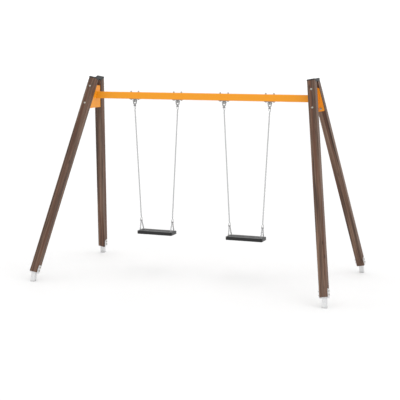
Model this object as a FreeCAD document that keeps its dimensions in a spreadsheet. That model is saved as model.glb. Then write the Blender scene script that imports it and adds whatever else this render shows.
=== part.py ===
"""Two-seat playground swing set on four splayed wooden posts.

The origin is on the ground under the middle of the beam. X runs along the beam,
Y is the direction of swinging (the front is -Y) and Z is up. Sizes are in millimetres.
"""
import FreeCAD, Part
import os
from math import sqrt

import Sketcher
from FreeCAD import Placement, Rotation, Vector

SIZES = [
    # posts
    ("post_side", 90, "side of the square wooden post"),
    ("post_round", 7, "rounding of the post's long edges"),
    ("post_length", 2420, "length of a post"),
    ("post_lift", 115, "ground to the lower end of a post, along its axis"),
    ("lean_in", 10, "angle by which each pair of posts leans towards the middle"),
    ("splay", 20.2, "angle between a post and its pair's middle line"),
    ("head_gap", 49, "clear space between the tops of two posts"),
    ("cap_top", 7, "thickness of a post cap above the wood"),
    ("cap_skirt", 8, "depth of a cap's rim around the post"),
    ("cap_wall", 2, "wall of a cap's rim"),
    ("cap_gap", 0.2, "clearance between a cap's rim and the post"),
    # post shoes
    ("cheek_width", 60, "width of a shoe's cheek"),
    ("cheek_thick", 6, "thickness of a shoe's cheek"),
    ("cheek_rise", 90, "height of a cheek above the lower end of the post"),
    ("cheek_round", 12, "rounding of a cheek's upper corners"),
    ("shoe_plate", 6, "thickness of the plate under the post"),
    ("shank_side", 50, "side of the square tube that carries the plate"),
    ("shank_wall", 4, "wall of the square tube"),
    ("shank_lean", 5, "angle by which a shank leans towards the middle, along the beam"),
    ("shank_splay", 10, "angle by which a shank leans towards the other post of its pair"),
    ("shoe_bolt", 10, "diameter of a shoe bolt"),
    ("shoe_bolt_low", 26, "lower end of the post to the lower shoe bolt"),
    ("shoe_bolt_high", 66, "lower end of the post to the upper shoe bolt"),
    # brackets between the posts
    ("bracket_drop", 87, "upper ends of the posts to the bracket's upper edge, down the leaning plane"),
    ("bracket_height", 269, "height of a bracket, along the leaning plane"),
    ("bracket_depth", 76, "depth of a bracket's flanges with the web"),
    ("bracket_inset", 38, "post's middle plane to the web's face that the beam meets"),
    ("bracket_thick", 5, "thickness of the bracket's sheet"),
    ("bracket_bend", 8, "outer radius of a bracket's folds"),
    ("flange_round", 16, "rounding of a flange's free corners"),
    ("post_bolt", 12, "diameter of a post bolt"),
    ("post_bolt_head", 21, "diameter of a post bolt's domed head"),
    ("post_bolt_dome", 6.6, "height of a post bolt's domed head"),
    ("post_washer", 24, "diameter of a post bolt's washer"),
    ("post_bolt_drop", 113, "upper end of a post to the upper post bolt"),
    ("post_bolt_gap", 214, "distance between a post's two post bolts"),
    # beam
    ("beam_length", 2684, "length of the beam, along its middle"),
    ("beam_height", 80, "height of the beam's section"),
    ("beam_width", 60, "width of the beam's section"),
    ("beam_wall", 4, "wall of the beam"),
    ("beam_round", 6, "rounding of the beam's long edges"),
    ("beam_drop", 202, "upper ends of the posts to the middle of the beam, straight down"),
    # hangers
    ("swing_offset", 565, "middle of the set to the middle of a swing"),
    ("hanger_gap", 550, "distance between a swing's two hangers"),
    ("plate_length", 116, "length of a hanger's plate, along X"),
    ("plate_width", 60, "width of a hanger's plate"),
    ("plate_thick", 6, "thickness of a hanger's plate"),
    ("plate_bolt", 10, "diameter of a hanger bolt"),
    ("plate_bolt_gap", 96, "distance between a hanger's two bolts"),
    ("plate_washer", 20, "diameter of the washer on top of a hanger bolt"),
    ("axle_drop", 16, "underside of the plate to the axle"),
    ("barrel_outer", 30, "outer diameter of the bearing barrel"),
    ("barrel_length", 24, "length of the bearing barrel"),
    ("saddle_width", 22, "width of the block between barrel and plate"),
    ("bush_outer", 22, "outer diameter of a bush"),
    ("bush_flange", 28, "diameter of a bush's flange"),
    ("bush_flange_thick", 2, "thickness of a bush's flange"),
    ("bush_length", 11, "length of a bush inside the barrel"),
    ("axle", 12, "diameter of the axle"),
    ("axle_head", 4.5, "height of an axle's low head"),
    ("axle_nut", 6, "height of an axle's thin nut"),
    ("axle_end", 1, "length of an axle beyond its nut"),
    ("running_gap", 0.05, "radial clearance of a pin that turns"),
    # yokes
    ("yoke_gap", 0.5, "bush flange to the yoke's arm"),
    ("yoke_arm", 5, "thickness of a yoke's arm"),
    ("yoke_width", 26, "width of a yoke, along Y"),
    ("yoke_neck", 8, "thickness of the yoke's tab"),
    ("yoke_drop", 55, "axle to the shackle pin"),
    ("yoke_shoulder", 28, "axle to the inner corner where the arms turn inwards"),
    ("yoke_shoulder_outer", 32, "axle to the outer corner where the arms turn inwards"),
    ("yoke_crotch", 33, "axle to the bottom of the opening between the arms"),
    ("yoke_tab", 48, "axle to the upper end of the tab"),
    ("yoke_tab_end", 10, "shackle pin to the end of the tab"),
    ("yoke_edge", 0.5, "flat left between the two roundings of a yoke's end"),
    # shackles
    ("shackle_wire", 6, "thickness of a shackle's bow"),
    ("shackle_pin", 6, "diameter of a shackle's pin"),
    ("shackle_pin_head", 11, "diameter of the head of a shackle's pin"),
    ("shackle_pin_head_thick", 4, "thickness of the head of a shackle's pin"),
    ("shackle_pin_end", 1, "length of the pin beyond the shackle"),
    ("shackle_play", 1.3, "gap beside each of two links held side by side in a shackle"),
    ("shackle_reach", 38, "pin's axis to the inside of the bow"),
    ("shackle_eye", 13, "diameter of a shackle's eyes"),
    # chains
    ("chain_wire", 5, "wire of a chain link"),
    ("link_slack", 1, "inside width of a link over the thickest wire that it holds"),
    ("link_pitch", 18.5, "pitch of the chain"),
    ("link_play", 0.3, "gap between two links"),
    ("chain_links", 71, "links of a chain, an odd number"),
    ("bridle_links", 6, "links of a bridle chain, an even number"),
    ("chain_gap_low", 407, "distance between a swing's two lower shackles"),
    # seats
    ("eye_half_y", 50, "middle of the seat to an eye bolt, along Y"),
    ("eye_wire", 5, "thickness of an eye's ring"),
    ("eye_radius", 8.5, "radius of an eye's ring, to the middle of its wire"),
    ("eye_rise", 13, "top of the seat to the middle of an eye"),
    ("eye_collar", 22, "diameter of an eye bolt's collar"),
    ("eye_collar_thick", 3, "thickness of the collar"),
    ("eye_bolt", 8, "diameter of an eye bolt's shank"),
    ("eye_washer", 24, "diameter of the washer of an eye bolt"),
    ("seat_length", 450, "length of a seat"),
    ("seat_depth", 168, "depth of a seat, front to rear"),
    ("seat_thick", 40, "thickness of a seat"),
    ("seat_corner", 16, "rounding of a seat's corners, seen from above"),
    ("seat_edge", 6, "rounding of a seat's edges"),
    ("seat_recess", 16, "depth of the recess round an eye bolt's nut, from the seat's underside"),
    ("recess_gap", 1.5, "gap between the recess and the washer in it"),
    ("core_margin_x", 18, "end of the seat to the metal plate inside it"),
    ("core_margin_y", 12, "front of the seat to the metal plate inside it"),
    ("core_thick", 5, "thickness of the metal plate inside the seat"),
    # fasteners
    ("bolt_clearance", 1, "extra diameter of a hole for a bolt"),
    ("washer_thick", 2.5, "thickness of a washer"),
    ("flats_m8", 13, "width across the flats of an M8 nut"),
    ("flats_m10", 17, "width across the flats of an M10 nut or bolt head"),
    ("flats_m12", 19, "width across the flats of an M12 nut or bolt head"),
    ("nut_m8", 7, "height of an M8 nut"),
    ("nut_m10", 8, "height of an M10 nut"),
    ("nut_m12", 10, "height of an M12 nut"),
    ("head_m10", 6.4, "height of an M10 bolt head"),
    ("nut_dome", 0.42, "height of a cap nut's dome over its width across the flats"),
    ("bolt_end", 2, "length of a bolt beyond a plain nut"),
]

doc = FreeCAD.newDocument("swing_set")
sheet = doc.addObject("Spreadsheet::Sheet", "sizes")
for row, (alias, value, words) in enumerate(SIZES, 1):
    sheet.set(f"A{row}", words)
    sheet.set(f"B{row}", str(value))
    sheet.setAlias(f"B{row}", alias)
doc.recompute()

SIDES = {"left": -1, "right": 1}
ENDS = {"front": -1, "rear": 1}
NO_TURN = "rotation(0; 0; 0)"
TURNS = {"x": "rotation(0; 90; 0)", "y": "rotation(0; 0; -90)", "z": NO_TURN}
REACH = 400            # length of a cutting tool that only has to pass right through
nodes = []


def size(alias):
    return float(sheet.get(alias))


def worked_out(expression):
    return float(sheet.evalExpression(expression))


def keep(obj, label):
    """Make obj the sub-part called label."""
    obj.Label = label
    nodes.append(obj)
    return obj


# ---- frames of reference -------------------------------------------------------------------

def world(x="0", y="0", z="0"):
    return f"placement(vector({x}; {y}; {z}); {NO_TURN})"


# Along a post, from the ground on its axis
POST_TOP = "(sizes.post_lift + sizes.post_length)"
POST_BOLT_HIGH = f"({POST_TOP} - sizes.post_bolt_drop)"
POST_BOLT_LOW = f"({POST_BOLT_HIGH} - sizes.post_bolt_gap)"
# Up the leaning plane, from the ground
BRACKET_HIGH = f"({POST_TOP} * cos(sizes.splay) - sizes.bracket_drop)"
BRACKET_LOW = f"({BRACKET_HIGH} - sizes.bracket_height)"
# Straight up, from the ground
BEAM_AXIS = f"({POST_TOP} * cos(sizes.splay) * cos(sizes.lean_in) - sizes.beam_drop)"
BEAM_UNDER = f"({BEAM_AXIS} - sizes.beam_height / 2)"
AXLE_Z = f"({BEAM_UNDER} - sizes.plate_thick - sizes.axle_drop)"
# Middle of the set to the point where a post's axis meets the ground
FOOT_X = (f"(sizes.beam_length / 2 + sizes.bracket_inset / cos(sizes.lean_in) + "
          f"{BEAM_AXIS} * tan(sizes.lean_in))")
FOOT_Y = (f"(sizes.head_gap / 2 + sizes.post_side / 2 * cos(sizes.splay) + "
          f"{POST_TOP} * sin(sizes.splay))")


def post_frame(side, end):
    """Origin on the ground on the post's axis, z up along the post, x along the beam."""
    foot = f"vector({side} * {FOOT_X}; {end} * {FOOT_Y}; 0)"
    return f"placement({foot}; rotation(0; {-side} * sizes.lean_in; {end} * sizes.splay))"


def shank_frame(side, end):
    """Origin under the middle of a shoe's plate, z up along the shank."""
    up = "(sizes.post_lift - sizes.shoe_plate)"
    x = f"{side} * ({FOOT_X} - {up} * cos(sizes.splay) * sin(sizes.lean_in))"
    y = f"{end} * ({FOOT_Y} - {up} * sin(sizes.splay))"
    z = f"{up} * cos(sizes.splay) * cos(sizes.lean_in)"
    turn = f"rotation(0; {-side} * sizes.shank_lean; {end} * sizes.shank_splay)"
    return f"placement(vector({x}; {y}; {z}); {turn})"


def pair_frame(side):
    """Origin on the ground between two posts, z up along the leaning plane."""
    foot = f"vector({side} * {FOOT_X}; 0; 0)"
    return f"placement({foot}; rotation(0; {-side} * sizes.lean_in; 0))"


def hanger_x(side, inner):
    """X of a hanger: inner is 1 for the hanger on the right of its swing, -1 on the left."""
    return f"({side} * sizes.swing_offset + {inner} * sizes.hanger_gap / 2)"


# ---- building blocks -----------------------------------------------------------------------

def bind(obj, frame, offset=("0", "0", "0"), turn=NO_TURN, **sizes):
    for name, expression in sizes.items():
        obj.setExpression(name, expression)
    x, y, z = offset
    obj.setExpression("Placement", f"{frame} * placement(vector({x}; {y}; {z}); {turn})")
    return obj


def box(frame, low, high):
    """Box between two corners given as expressions in a frame."""
    obj = doc.addObject("Part::Box", "box")
    spans = [f"({b}) - ({a})" for a, b in zip(low, high)]
    return bind(obj, frame, low, Length=spans[0], Width=spans[1], Height=spans[2])


def rod(frame, start, axis, diameter, length):
    obj = doc.addObject("Part::Cylinder", "rod")
    return bind(obj, frame, start, TURNS[axis], Radius=f"({diameter}) / 2", Height=length)


def fuse(parts):
    obj = doc.addObject("Part::MultiFuse", "fuse")
    obj.Shapes = parts
    obj.Refine = True
    return obj


def cut(base, tools):
    tool = tools[0] if len(tools) == 1 else fuse(tools)
    obj = doc.addObject("Part::Cut", "cut")
    obj.Base = base
    obj.Tool = tool
    obj.Refine = True
    return obj


def new_body(frame):
    body = doc.addObject("PartDesign::Body", "body")
    body.setExpression("Placement", frame)
    return body


def new_sketch(body, plane, lift="0"):
    """Empty sketch on one of the body's origin planes, moved by lift along the plane's normal."""
    sketch = body.newObject("Sketcher::SketchObject", "sketch")
    support = [item for item in body.Origin.OriginFeatures if item.Role == plane][0]
    sketch.AttachmentSupport = (support, [""])
    sketch.MapMode = "FlatFace"
    sketch.setExpression("AttachmentOffset", f"placement(vector(0; 0; {lift}); {NO_TURN})")
    return sketch


def pin_point(sketch, geometry, corner, x, y):
    """Hold a point of the sketch at the expressions x and y."""
    for kind, expression, axis in (("DistanceX", x, -2), ("DistanceY", y, -1)):
        value = worked_out(expression)
        if abs(value) < 1e-9:
            sketch.addConstraint(Sketcher.Constraint("PointOnObject", geometry, corner, axis))
            continue
        index = sketch.addConstraint(Sketcher.Constraint(kind, -1, 1, geometry, corner, value))
        sketch.setExpression(f"Constraints[{index}]", expression)


def polygon(body, plane, points, lift="0"):
    """Closed outline through points given as pairs of expressions."""
    sketch = new_sketch(body, plane, lift)
    places = [Vector(worked_out(x), worked_out(y), 0) for x, y in points]
    count = len(points)
    for i in range(count):
        sketch.addGeometry(Part.LineSegment(places[i], places[(i + 1) % count]))
    for i in range(count):
        sketch.addConstraint(Sketcher.Constraint("Coincident", i, 2, (i + 1) % count, 1))
    for i, (x, y) in enumerate(points):
        pin_point(sketch, i, 1, x, y)
    return sketch


def circles(body, plane, centres, diameter):
    sketch = new_sketch(body, plane)
    radius = worked_out(diameter) / 2
    for i, (x, y) in enumerate(centres):
        centre = Vector(worked_out(x), worked_out(y), 0)
        sketch.addGeometry(Part.Circle(centre, Vector(0, 0, 1), radius))
        index = sketch.addConstraint(Sketcher.Constraint("Radius", i, radius))
        sketch.setExpression(f"Constraints[{index}]", f"({diameter}) / 2")
        pin_point(sketch, i, 3, x, y)
    return sketch


def pad(body, sketch, length, midplane=False, reverse=False):
    feature = body.newObject("PartDesign::Pad", "pad")
    feature.Profile = sketch
    feature.setExpression("Length", length)
    feature.Midplane = midplane
    feature.Reversed = reverse
    doc.recompute()
    return feature


def pocket(body, sketch, length, midplane=False, reverse=False):
    before = body.Shape.Volume
    feature = body.newObject("PartDesign::Pocket", "pocket")
    feature.Profile = sketch
    feature.setExpression("Length", length)
    feature.Midplane = midplane
    feature.Reversed = reverse
    doc.recompute()
    if body.Shape.Volume > before - 1:
        raise RuntimeError(f"a pocket of {body.Name} cuts nothing")
    return feature


def rounded(body, chosen, radius, kind="Fillet"):
    """Fillet or chamfer the edges of the body's tip for which chosen(edge) is true."""
    tip = body.Tip
    flat = tip.Shape.copy()
    names = [f"Edge{i}" for i, edge in enumerate(flat.Edges, 1) if chosen(edge)]
    feature = body.newObject(f"PartDesign::{kind}", kind.lower())
    feature.Base = (tip, names)
    feature.setExpression("Radius" if kind == "Fillet" else "Size", radius)
    doc.recompute()
    return feature


def along(edge, axis):
    """True for a straight edge that runs along a unit vector."""
    if not isinstance(edge.Curve, Part.Line):
        return False
    return abs(abs(edge.Curve.Direction.dot(axis)) - 1) < 1e-6


def set_shape(label, shape):
    """Sub-part whose shape the functions below work out from the sheet."""
    obj = doc.addObject("Part::Feature", "feature")
    obj.Shape = shape
    return keep(obj, label)


def copies(label, shape, places):
    return set_shape(label, Part.makeCompound([shape.transformed(p.toMatrix()) for p in places]))


# ---- fasteners, each along z with its seat at z = 0 ----------------------------------------

def hexagon(flats, height):
    radius = flats / sqrt(3)
    corners = [Rotation(Vector(0, 0, 1), 60 * i).multVec(Vector(radius, 0, 0)) for i in range(7)]
    return Part.Face(Part.makePolygon(corners)).extrude(Vector(0, 0, height))


def hex_bolt(diameter, grip, flats, head):
    """Hexagon head above z = 0 and a shank of length grip below."""
    shank = Part.makeCylinder(diameter / 2, grip, Vector(0, 0, -grip))
    return hexagon(flats, head).fuse(shank).removeSplitter()


def mushroom_bolt(diameter, grip, width, head):
    """Low domed head above z = 0 and a shank of length grip below."""
    ball = ((width / 2) ** 2 + head ** 2) / (2 * head)
    dome = Part.makeSphere(ball, Vector(0, 0, head - ball))
    slab = Part.makeCylinder(width, head)
    shank = Part.makeCylinder(diameter / 2, grip, Vector(0, 0, -grip))
    return dome.common(slab).fuse(shank).removeSplitter()


def ring(inner, outer, thick):
    return Part.makeCylinder(outer / 2, thick).cut(Part.makeCylinder(inner / 2, thick))


def plain_nut(diameter, flats, height):
    return hexagon(flats, height).cut(Part.makeCylinder(diameter / 2, height))


def cap_nut(diameter, flats, height):
    """Hexagon nut closed by a dome; its thread is deep enough for a shank of length height."""
    rise = flats * size("nut_dome")
    dome = Part.makeSphere(rise, Vector(0, 0, height))
    upper = Part.makeCylinder(flats, flats, Vector(0, 0, height))
    closed = hexagon(flats, height).fuse(dome.common(upper)).removeSplitter()
    return closed.cut(Part.makeCylinder(diameter / 2, height))


def turned(direction):
    """Rotation that takes z to a direction."""
    return Rotation(Vector(0, 0, 1), Vector(*direction))


# ---- posts, caps and shoes -----------------------------------------------------------------

def make_post(label, frame):
    body = new_body(frame)
    half = "sizes.post_side / 2"
    outline = [(f"-{half}", f"-{half}"), (half, f"-{half}"), (half, half), (f"-{half}", half)]
    pad(body, polygon(body, "XY_Plane", outline, "sizes.post_lift"), "sizes.post_length")
    rounded(body, lambda edge: along(edge, Vector(0, 0, 1)), "sizes.post_round")
    bolts = [("0", POST_BOLT_LOW), ("0", POST_BOLT_HIGH)]
    hole = circles(body, "XZ_Plane", bolts, "sizes.post_bolt + sizes.bolt_clearance")
    pocket(body, hole, "2 * sizes.post_side", midplane=True)
    low = "sizes.post_lift + sizes.shoe_bolt_low"
    high = "sizes.post_lift + sizes.shoe_bolt_high"
    hole = circles(body, "YZ_Plane", [("0", low), ("0", high)],
                   "sizes.shoe_bolt + sizes.bolt_clearance")
    pocket(body, hole, "2 * sizes.post_side", midplane=True)
    keep(body, label)


def make_cap(label, frame):
    body = new_body(frame)
    inner = "(sizes.post_side / 2 + sizes.cap_gap)"
    outer = f"({inner} + sizes.cap_wall)"

    def square(half, lift):
        points = [(f"-{half}", f"-{half}"), (half, f"-{half}"), (half, half), (f"-{half}", half)]
        return polygon(body, "XY_Plane", points, lift)

    pad(body, square(outer, f"{POST_TOP} - sizes.cap_skirt"), "sizes.cap_top + sizes.cap_skirt")
    rounded(body, lambda edge: along(edge, Vector(0, 0, 1)), "sizes.post_round")
    pocket(body, square(inner, POST_TOP), "sizes.cap_skirt")
    crown = worked_out(f"{POST_TOP} + sizes.cap_top")
    rounded(body, lambda edge: abs(edge.BoundBox.ZMin - crown) < 1e-6, "sizes.cap_top / 2",
            "Chamfer")
    keep(body, label)


def make_shoe(label, side, end):
    frame = post_frame(side, end)
    inner = "sizes.post_side / 2"
    outer = f"({inner} + sizes.cheek_thick)"
    half = "sizes.cheek_width / 2"
    top = "(sizes.post_lift + sizes.cheek_rise)"
    under = "(sizes.post_lift - sizes.shoe_plate)"
    tube = "sizes.shank_side / 2"
    hollow = f"({tube} - sizes.shank_wall)"
    body = new_body(frame)
    saddle = [(f"-{outer}", under), (outer, under), (outer, top), (inner, top),
              (inner, "sizes.post_lift"), (f"-{inner}", "sizes.post_lift"), (f"-{inner}", top),
              (f"-{outer}", top)]
    pad(body, polygon(body, "XZ_Plane", saddle), "sizes.cheek_width", midplane=True)
    peak = worked_out(top)
    rounded(body, lambda edge: along(edge, Vector(1, 0, 0)) and abs(edge.BoundBox.ZMax - peak) < 1e-6,
            "sizes.cheek_round")
    near, far = str(-REACH / 2), str(REACH / 2)
    upright = shank_frame(side, end)
    shank = box(upright, (f"-{tube}", f"-{tube}", near), (tube, tube, "sizes.shank_side"))
    bore = box(upright, (f"-{hollow}", f"-{hollow}", str(-REACH)), (hollow, hollow, far))
    above = box(frame, (near, near, under), (far, far, f"{under} + {far}"))
    ground = box(world(f"{side} * {FOOT_X}", f"{end} * {FOOT_Y}"), (near, near, str(-REACH)),
                 (far, far, "0"))
    holes = [rod(frame, (near, "0", f"sizes.post_lift + {height}"), "x",
                 "sizes.shoe_bolt + sizes.bolt_clearance", str(REACH))
             for height in ("sizes.shoe_bolt_low", "sizes.shoe_bolt_high")]
    keep(cut(fuse([body, cut(shank, [bore, above, ground])]), holes), label)


def post_placement(side, end):
    foot = Vector(side * worked_out(FOOT_X), end * worked_out(FOOT_Y), 0)
    return Placement(foot, Rotation(0, -side * size("lean_in"), end * size("splay")))


def every_post():
    return [(side, end, post_placement(side, end)) for end in ENDS.values() for side in SIDES.values()]


def shoe_fasteners():
    """Bolts through the cheeks and the post: heads on the outer side, nuts on the inner side."""
    reach = size("post_side") / 2 + size("cheek_thick")
    diameter, flats, nut = size("shoe_bolt"), size("flats_m10"), size("nut_m10")
    bolt = hex_bolt(diameter, 2 * reach + nut, flats, size("head_m10"))
    heads, nuts = [], []
    for side, end, frame in every_post():
        for height in (size("shoe_bolt_low"), size("shoe_bolt_high")):
            up = size("post_lift") + height
            heads.append(frame * Placement(Vector(side * reach, 0, up), turned((side, 0, 0))))
            nuts.append(frame * Placement(Vector(-side * reach, 0, up), turned((-side, 0, 0))))
    copies("shoe_bolts", bolt, heads)
    copies("shoe_nuts", cap_nut(diameter, flats, nut), nuts)


# ---- brackets, post bolts and beam ---------------------------------------------------------

def pair_half(height, inset="0"):
    """Half the space between two posts' inner faces at a height up the leaning plane."""
    face = "sizes.post_side / 2 / cos(sizes.splay)"
    return f"({FOOT_Y} - ({height}) * tan(sizes.splay) - {face} - ({inset}) / cos(sizes.splay))"


def trapezium(low, high, inset="0"):
    return [(f"-{pair_half(low, inset)}", low), (pair_half(low, inset), low),
            (pair_half(high, inset), high), (f"-{pair_half(high, inset)}", high)]


def make_bracket(label, side):
    """Folded channel: the web faces the swings, the flanges lie on the posts' inner faces."""
    frame = pair_frame(side)
    web = f"({-side} * sizes.bracket_inset)"
    free = f"({side} * (sizes.bracket_depth - sizes.bracket_inset))"
    body = new_body(frame)
    pad(body, polygon(body, "YZ_Plane", trapezium(BRACKET_LOW, BRACKET_HIGH), web), "sizes.bracket_depth",
        reverse=side < 0)
    channel = trapezium(f"({BRACKET_LOW} - sizes.bracket_thick)",
                        f"({BRACKET_HIGH} + sizes.bracket_thick)", "sizes.bracket_thick")
    floor = f"{-side} * (sizes.bracket_inset - sizes.bracket_thick)"
    pocket(body, polygon(body, "YZ_Plane", channel, floor), "sizes.bracket_depth", reverse=side > 0)
    web_x = worked_out(web)
    rounded(body, lambda edge: edge.BoundBox.XLength < 1e-6 and abs(edge.BoundBox.XMin - web_x) < 1e-6
            and edge.BoundBox.ZLength > size("bracket_depth"), "sizes.bracket_bend")

    outline = new_body(frame)
    corners = [(web, BRACKET_LOW), (free, BRACKET_LOW), (free, BRACKET_HIGH), (web, BRACKET_HIGH)]
    pad(outline, polygon(outline, "XZ_Plane", corners), f"2 * {FOOT_Y}", midplane=True)
    free_x = worked_out(free)
    rounded(outline, lambda edge: along(edge, Vector(0, 1, 0)) and abs(edge.BoundBox.XMin - free_x) < 1e-6,
            "sizes.flange_round")
    trimmed = doc.addObject("Part::MultiCommon", "common")
    trimmed.Shapes = [body, outline]

    holes = []
    for end in ENDS.values():
        start = f"-({end} + 1) * sizes.post_side / 2"
        for height in (POST_BOLT_LOW, POST_BOLT_HIGH):
            holes.append(rod(post_frame(side, end), ("0", start, height), "y",
                             "sizes.post_bolt + sizes.bolt_clearance", "sizes.post_side"))
    keep(cut(trimmed, holes), label)


def post_fasteners():
    """Bolts through post and bracket flange, with round heads and washers outside."""
    half = size("post_side") / 2
    washer = size("washer_thick")
    diameter = size("post_bolt")
    flange = size("bracket_thick")
    nut = size("nut_m12")
    grip = 2 * half + flange + 2 * washer + nut + size("bolt_end")
    bolt = mushroom_bolt(diameter, grip, size("post_bolt_head"), size("post_bolt_dome"))
    heads, outer, inner, nuts = [], [], [], []
    for side, end, frame in every_post():
        for up in (worked_out(POST_BOLT_LOW), worked_out(POST_BOLT_HIGH)):
            out = turned((0, end, 0))
            back = turned((0, -end, 0))
            heads.append(frame * Placement(Vector(0, end * (half + washer), up), out))
            outer.append(frame * Placement(Vector(0, end * half, up), out))
            inner.append(frame * Placement(Vector(0, -end * (half + flange), up), back))
            nuts.append(frame * Placement(Vector(0, -end * (half + flange + washer), up), back))
    copies("post_bolts", bolt, heads)
    copies("post_bolt_washers", ring(diameter, size("post_washer"), washer), outer + inner)
    copies("post_bolt_nuts", plain_nut(diameter, size("flats_m12"), nut), nuts)


def make_beam():
    """Hollow section whose ends are cut to the slope of the brackets' webs."""
    body = new_body(world())

    def outline(half_height, extra="0"):
        def reach(up):
            return f"(sizes.beam_length / 2 - ({up}) * tan(sizes.lean_in) + {extra})"
        low, high = reach(f"-{half_height}"), reach(half_height)
        under, over = f"({BEAM_AXIS} - {half_height})", f"({BEAM_AXIS} + {half_height})"
        return [(f"-{low}", under), (low, under), (high, over), (f"-{high}", over)]

    pad(body, polygon(body, "XZ_Plane", outline("sizes.beam_height / 2")), "sizes.beam_width",
        midplane=True)
    rounded(body, lambda edge: along(edge, Vector(1, 0, 0)), "sizes.beam_round")
    hollow = outline("(sizes.beam_height / 2 - sizes.beam_wall)", "sizes.beam_wall")
    pocket(body, polygon(body, "XZ_Plane", hollow), "sizes.beam_width - 2 * sizes.beam_wall",
           midplane=True)
    centres = [(f"{hanger_x(side, inner)} + {k} * sizes.plate_bolt_gap / 2", "0")
               for side in SIDES.values() for inner in (-1, 1) for k in (-1, 1)]
    hole = circles(body, "XY_Plane", centres, "sizes.plate_bolt + sizes.bolt_clearance")
    pocket(body, hole, f"3 * {BEAM_AXIS}", midplane=True)
    keep(body, "beam")


# ---- hangers -------------------------------------------------------------------------------

def make_hanger(label, side, inner):
    """Plate with a bearing barrel under it; the frame's origin is on the beam's underside."""
    frame = world(hanger_x(side, inner), "0", BEAM_UNDER)
    plate = box(frame, ("-sizes.plate_length / 2", "-sizes.plate_width / 2", "-sizes.plate_thick"),
                ("sizes.plate_length / 2", "sizes.plate_width / 2", "0"))
    axis = "-(sizes.plate_thick + sizes.axle_drop)"
    saddle = box(frame, ("-sizes.barrel_length / 2", "-sizes.saddle_width / 2", axis),
                 ("sizes.barrel_length / 2", "sizes.saddle_width / 2", "-sizes.plate_thick"))
    barrel = rod(frame, ("-sizes.barrel_length / 2", "0", axis), "x", "sizes.barrel_outer",
                 "sizes.barrel_length")
    bore = rod(frame, ("-sizes.barrel_length", "0", axis), "x", "sizes.bush_outer",
               "2 * sizes.barrel_length")
    holes = [rod(frame, (f"{k} * sizes.plate_bolt_gap / 2", "0", "-2 * sizes.plate_thick"), "z",
                 "sizes.plate_bolt + sizes.bolt_clearance", "3 * sizes.plate_thick")
             for k in (-1, 1)]
    keep(cut(fuse([plate, saddle, barrel]), [bore] + holes), label)


def hanger_centres(sides):
    """World positions of the axles' middles."""
    z = worked_out(AXLE_Z)
    return [Vector(worked_out(hanger_x(side, inner)), 0, z) for side in sides for inner in (-1, 1)]


def hanger_fasteners():
    """Bolts up through plate and beam, with washers and cap nuts on top."""
    diameter = size("plate_bolt")
    washer = size("washer_thick")
    through = size("plate_thick") + size("beam_height")
    flats, nut = size("flats_m10"), size("nut_m10")
    bolt = hex_bolt(diameter, through + washer + nut, flats, size("head_m10"))
    under = worked_out(BEAM_UNDER) - size("plate_thick")
    heads, washers, nuts = [], [], []
    for centre in hanger_centres(SIDES.values()):
        for k in (-1, 1):
            x = centre.x + k * size("plate_bolt_gap") / 2
            heads.append(Placement(Vector(x, 0, under), turned((0, 0, -1))))
            washers.append(Placement(Vector(x, 0, under + through), Rotation()))
            nuts.append(Placement(Vector(x, 0, under + through + washer), Rotation()))
    copies("hanger_bolts", bolt, heads)
    copies("hanger_washers", ring(diameter, size("plate_washer"), washer), washers)
    copies("hanger_nuts", cap_nut(diameter, flats, nut), nuts)


def pivot_bushes():
    """Two flanged bushes in each barrel."""
    bore = size("axle") + 2 * size("running_gap")
    flange = ring(bore, size("bush_flange"), size("bush_flange_thick"))
    sleeve = ring(bore, size("bush_outer"), size("bush_length"))
    sleeve.translate(Vector(0, 0, -size("bush_length")))
    bush = flange.fuse(sleeve).removeSplitter()
    half = size("barrel_length") / 2
    places = [Placement(centre + Vector(k * half, 0, 0), turned((k, 0, 0)))
              for centre in hanger_centres(SIDES.values()) for k in (-1, 1)]
    copies("pivot_bushes", bush, places)


# ---- yokes and shackles --------------------------------------------------------------------

def make_yoke(label, side, inner):
    """Fork over the barrel that narrows to a tab; the frame's origin is on the axle."""
    body = new_body(world(hanger_x(side, inner), "0", AXLE_Z))
    near = "(sizes.barrel_length / 2 + sizes.bush_flange_thick + sizes.yoke_gap)"
    far = f"({near} + sizes.yoke_arm)"
    neck = "sizes.yoke_neck / 2"
    top = "sizes.yoke_width / 2"
    foot = "-(sizes.yoke_drop + sizes.yoke_tab_end)"
    right = [(near, top), (far, top), (far, "-sizes.yoke_shoulder_outer"),
             (neck, "-sizes.yoke_tab"), (neck, foot)]
    left = [(f"-{x}", z) for x, z in reversed(right)]
    inside = [(f"-{near}", "-sizes.yoke_shoulder"), ("0", "-sizes.yoke_crotch"),
              (near, "-sizes.yoke_shoulder")]
    pad(body, polygon(body, "XZ_Plane", right + left + inside), "sizes.yoke_width", midplane=True)
    peak = worked_out(top)
    base = worked_out(foot)
    across = Vector(1, 0, 0)
    rounded(body, lambda edge: along(edge, across) and abs(edge.BoundBox.ZMin - peak) < 1e-6,
            "(sizes.yoke_width - sizes.yoke_edge) / 2")
    rounded(body, lambda edge: along(edge, across) and abs(edge.BoundBox.ZMin - base) < 1e-6,
            "sizes.yoke_tab_end - sizes.yoke_edge")
    bore = circles(body, "YZ_Plane", [("0", "0")], "sizes.axle + 2 * sizes.running_gap")
    pocket(body, bore, str(REACH), midplane=True)
    pin = circles(body, "YZ_Plane", [("0", "-sizes.yoke_drop")],
                  "sizes.shackle_pin + 2 * sizes.running_gap")
    pocket(body, pin, str(REACH), midplane=True)
    keep(body, label)


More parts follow.
